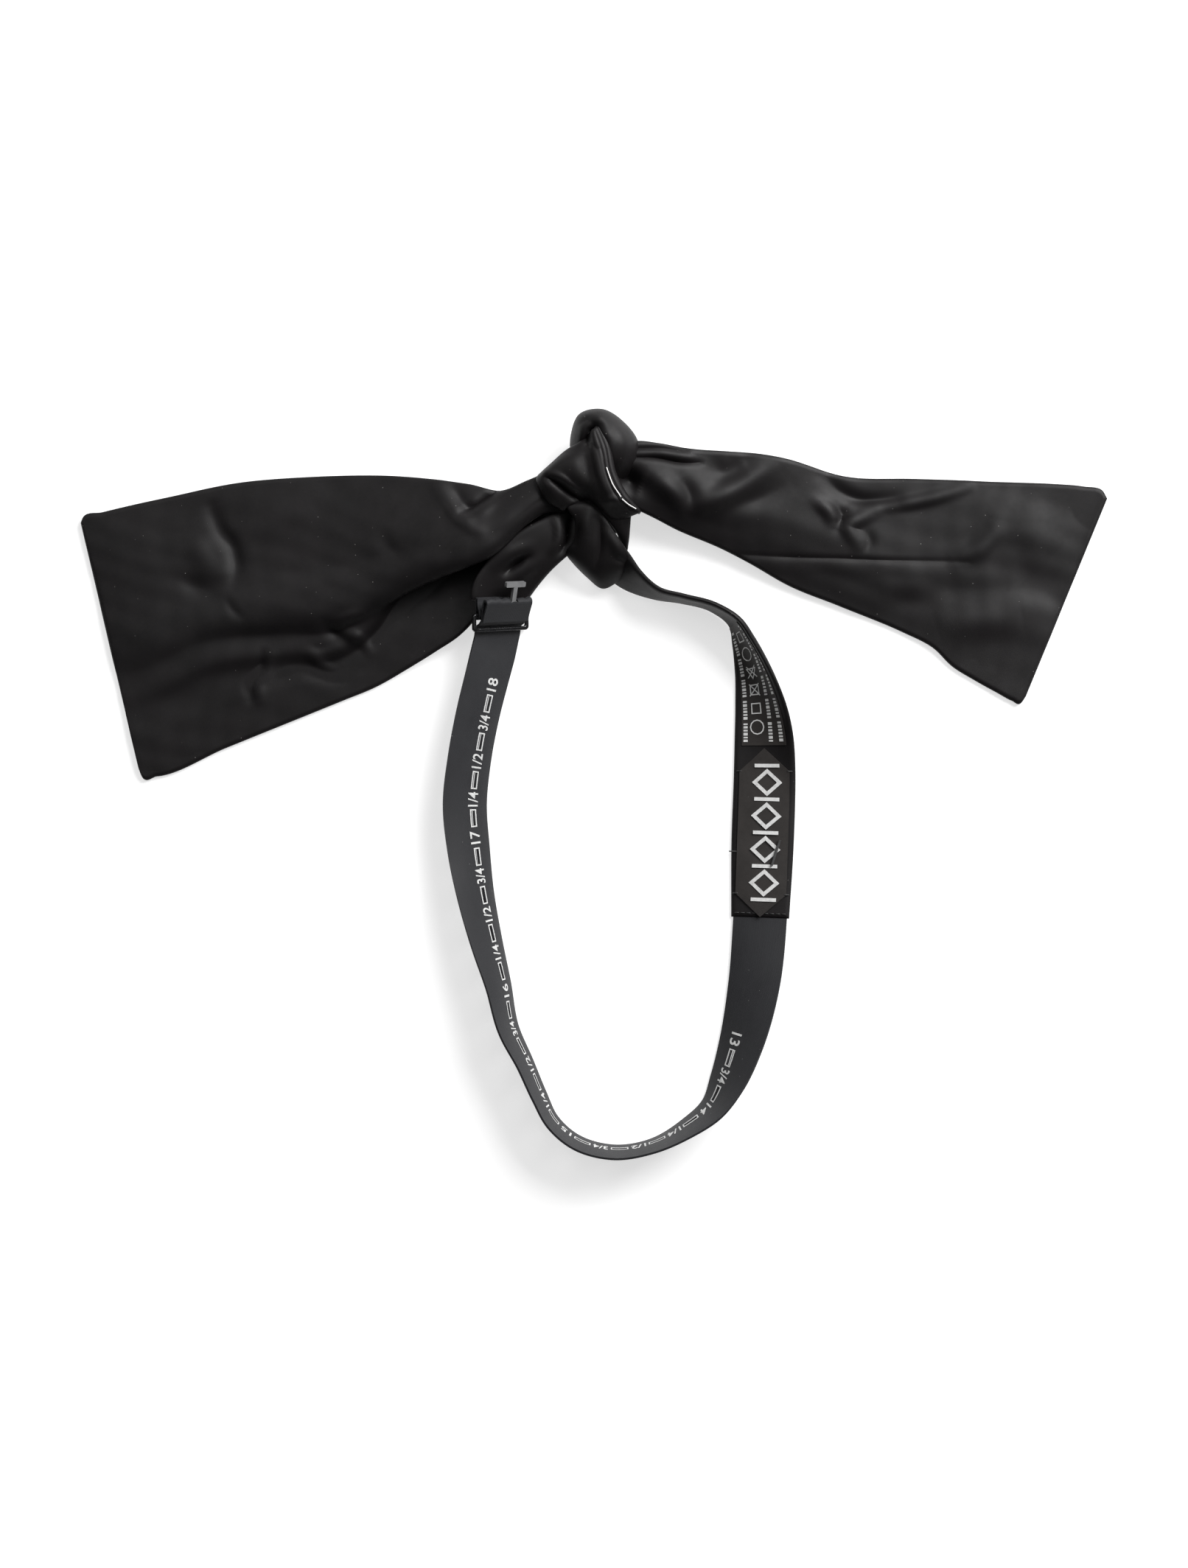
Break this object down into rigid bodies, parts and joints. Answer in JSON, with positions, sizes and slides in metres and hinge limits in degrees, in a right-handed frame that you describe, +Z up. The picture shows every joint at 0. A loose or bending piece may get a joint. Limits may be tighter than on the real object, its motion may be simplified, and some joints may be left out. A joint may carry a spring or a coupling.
{
  "type": "adjustable self-tie bow tie",
  "caption": "Black silk self-tie bow tie, knotted and lying face up, with an adjustable neckband of size tape, a ring and a T-shaped hook.",
  "frame": {"origin": "middle of the bounding box's underside, on the table that the tie lies on", "axes": "+Z up out of the tie's front, +X along the wearer's left-hand blade as laid out, -Y towards the foot of the neck loop"},
  "size_m": [0.3342, 0.2418, 0.0234],
  "materials": {
    "silk_satin": "satin",
    "wool_interlining": "matte",
    "grosgrain": "matte",
    "woven_label": "satin",
    "black_thread": "matte",
    "white_thread": "matte",
    "dark_wire": "gloss",
    "pale_grey_metal": "satin",
    "nylon": "satin"
  },
  "bodies": {
    "tie": {"size_tape": "grosgrain", "right_neckband_inner_silk": "silk_satin", "right_neckband_outer_silk": "silk_satin", "right_neckband_interlining": "wool_interlining", "left_neckband_front_silk": "silk_satin", "left_neckband_back_silk": "silk_satin", "left_neckband_interlining": "wool_interlining", "ring_loop": "grosgrain", "left_blade_back_silk": "silk_satin", "left_blade_interlining": "wool_interlining", "left_blade_front_silk": "silk_satin", "right_blade_back_silk": "silk_satin", "right_blade_interlining": "wool_interlining", "right_blade_front_silk": "silk_satin", "left_blade_under_fold": "silk_satin", "knot_wrap": "silk_satin", "knot_top_loop": "silk_satin", "knot_inner_band": "silk_satin", "knot_lower_fold": "silk_satin", "knot_back_fold": "silk_satin", "maker_label": "woven_label", "label_tacks": "black_thread", "tag_barb": "nylon", "care_label": "woven_label", "hem_stitching": "black_thread", "seam_stitching": "black_thread", "tacking_thread": "white_thread"},
    "ring": {"slide_ring": "dark_wire"},
    "hook": {"t_hook": "pale_grey_metal"}
  },
  "joints": [
    {"name": "hook_swing", "type": "hinge", "parent": "tie", "child": "hook", "pos_m": [-0.02631, 0.05855, 0.0104], "axis": [0.8196, 0.06, -0.5697], "range_deg": [0, 110]},
    {"name": "ring_tilt", "type": "hinge", "parent": "tie", "child": "ring", "pos_m": [-0.03035, 0.05501, 0.00773], "axis": [-0.8196, -0.06, 0.5697], "range_deg": [0, 70]}
  ]
}
